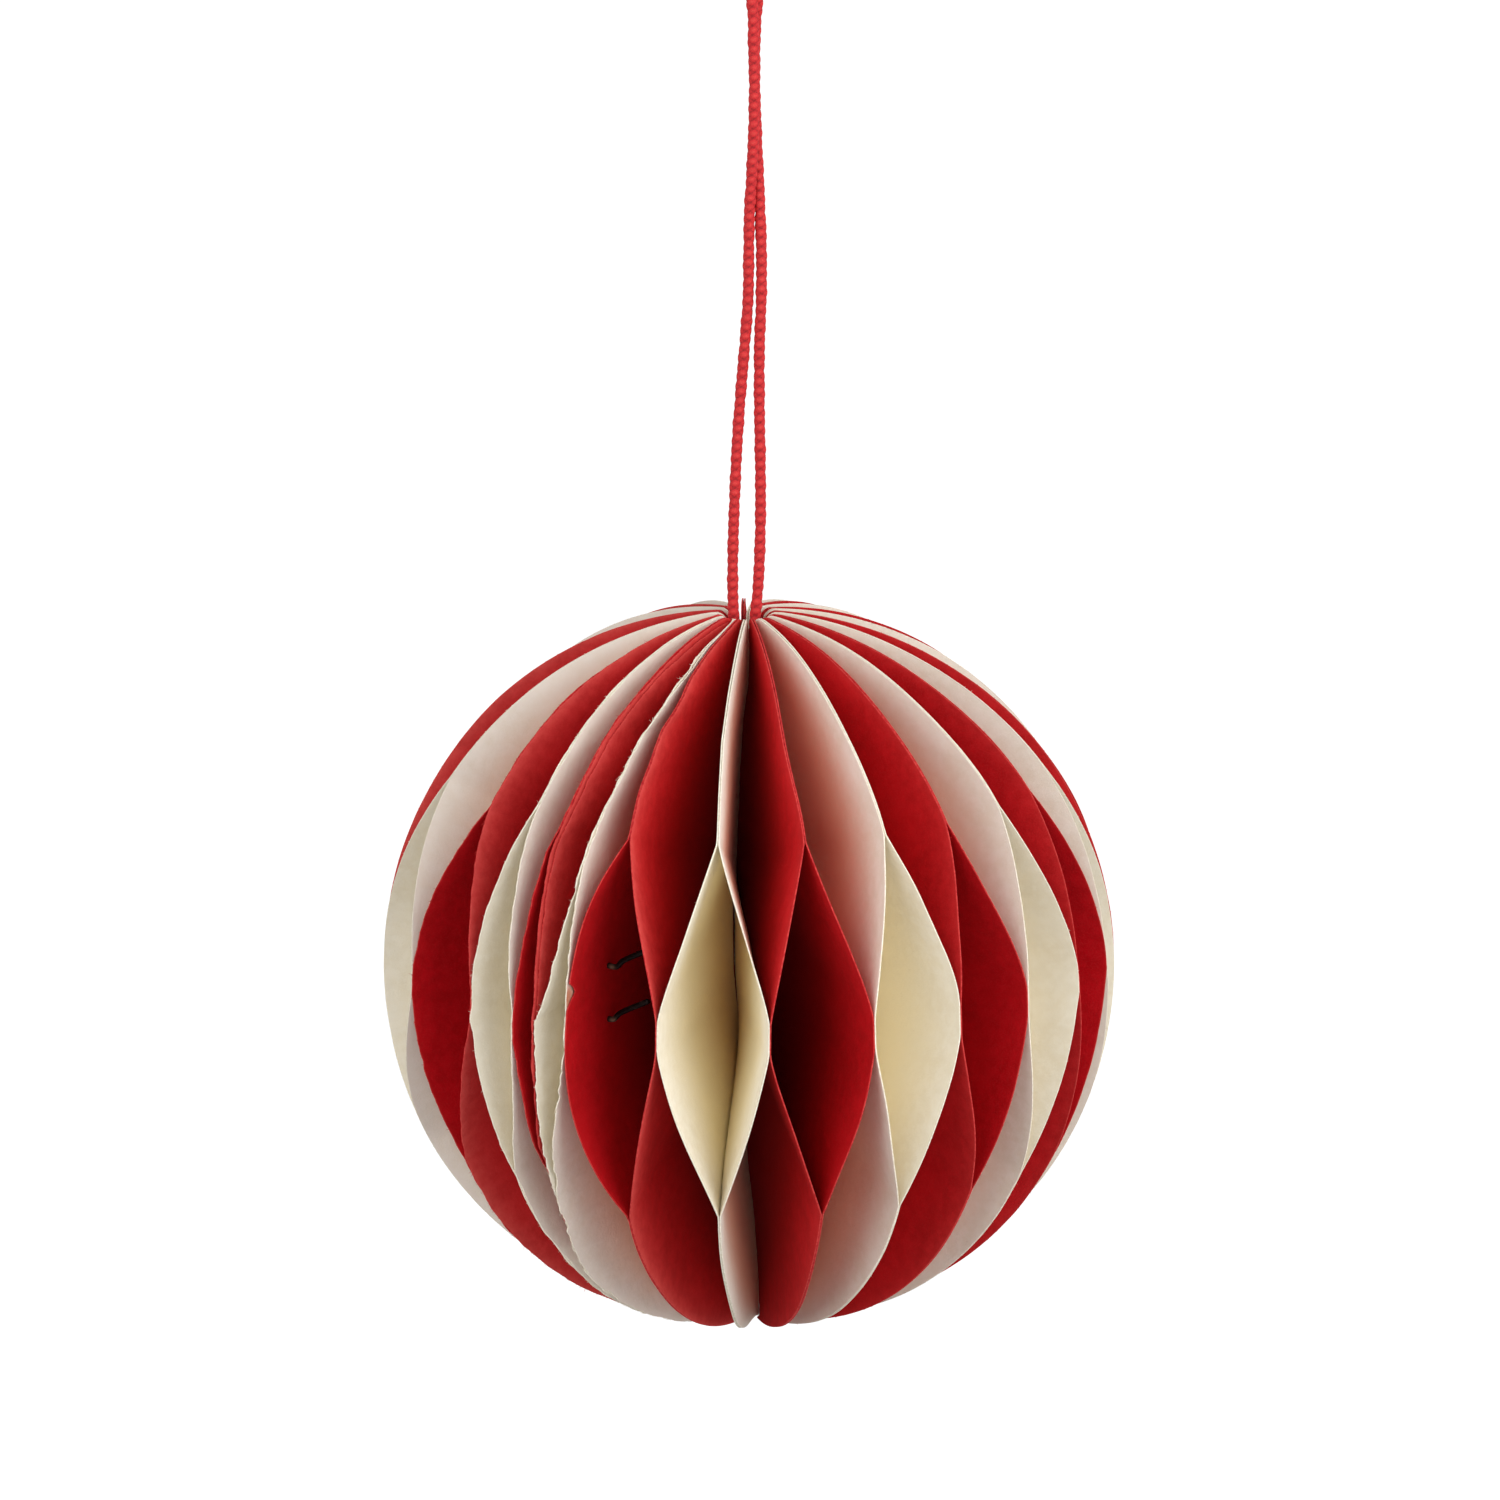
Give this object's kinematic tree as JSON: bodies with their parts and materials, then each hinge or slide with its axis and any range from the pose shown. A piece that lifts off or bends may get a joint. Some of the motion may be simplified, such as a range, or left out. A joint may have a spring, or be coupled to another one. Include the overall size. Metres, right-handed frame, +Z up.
{
  "type": "honeycomb paper ball",
  "caption": "Round hanging ornament of half-disc paper leaves, cream and red pairs in turn, glued in strips so that they fan out to an open honeycomb, on a doubled red cord.",
  "frame": {"origin": "centre of the ball, on the axis of its hollow core; the cord isn't counted", "axes": "+Z up along the core to the cord, -Y to the front as pictured, +X to the right"},
  "size_m": [0.07, 0.0694, 0.1391],
  "materials": {
    "cream_paper": "soft matte cotton paper, uncoated, torn and cut edges",
    "red_paper": "soft matte cotton paper, dyed through, uncoated",
    "staple_wire": "dark drawn steel wire",
    "red_cord": "waxed cotton cord, twisted"
  },
  "bodies": {
    "root": {"cream_leaf_01": "cream_paper", "cream_leaf_02": "cream_paper", "red_leaf_01": "red_paper", "red_leaf_02": "red_paper", "cream_leaf_03": "cream_paper", "cream_leaf_04": "cream_paper", "red_leaf_03": "red_paper", "red_leaf_04": "red_paper", "cream_leaf_05": "cream_paper", "cream_leaf_06": "cream_paper", "red_leaf_05": "red_paper", "red_leaf_06": "red_paper", "cream_leaf_07": "cream_paper", "cream_leaf_08": "cream_paper", "red_leaf_07": "red_paper", "red_leaf_08": "red_paper", "cream_leaf_09": "cream_paper", "cream_leaf_10": "cream_paper", "red_leaf_09": "red_paper", "red_leaf_10": "red_paper", "cream_leaf_11": "cream_paper", "cream_leaf_12": "cream_paper", "red_leaf_11": "red_paper", "red_leaf_12": "red_paper", "cream_leaf_13": "cream_paper", "cream_leaf_14": "cream_paper", "red_leaf_13": "red_paper", "red_leaf_14": "red_paper", "cream_leaf_15": "cream_paper", "cream_leaf_16": "cream_paper", "red_leaf_15": "red_paper", "red_leaf_16": "red_paper", "cream_leaf_17": "cream_paper", "cream_leaf_18": "cream_paper", "red_leaf_17": "red_paper", "red_leaf_18": "red_paper", "cream_leaf_19": "cream_paper", "cream_leaf_20": "cream_paper", "red_leaf_19": "red_paper", "red_leaf_20": "red_paper", "cream_leaf_21": "cream_paper", "cream_leaf_22": "cream_paper", "red_leaf_21": "red_paper", "red_leaf_22": "red_paper", "cream_leaf_23": "cream_paper", "cream_leaf_24": "cream_paper", "red_leaf_23": "red_paper", "red_leaf_24": "red_paper", "red_closing_leaf": "red_paper", "wire_staple": "staple_wire", "hanging_cord": "red_cord", "cord_knot": "red_cord"}
  },
  "joints": []
}
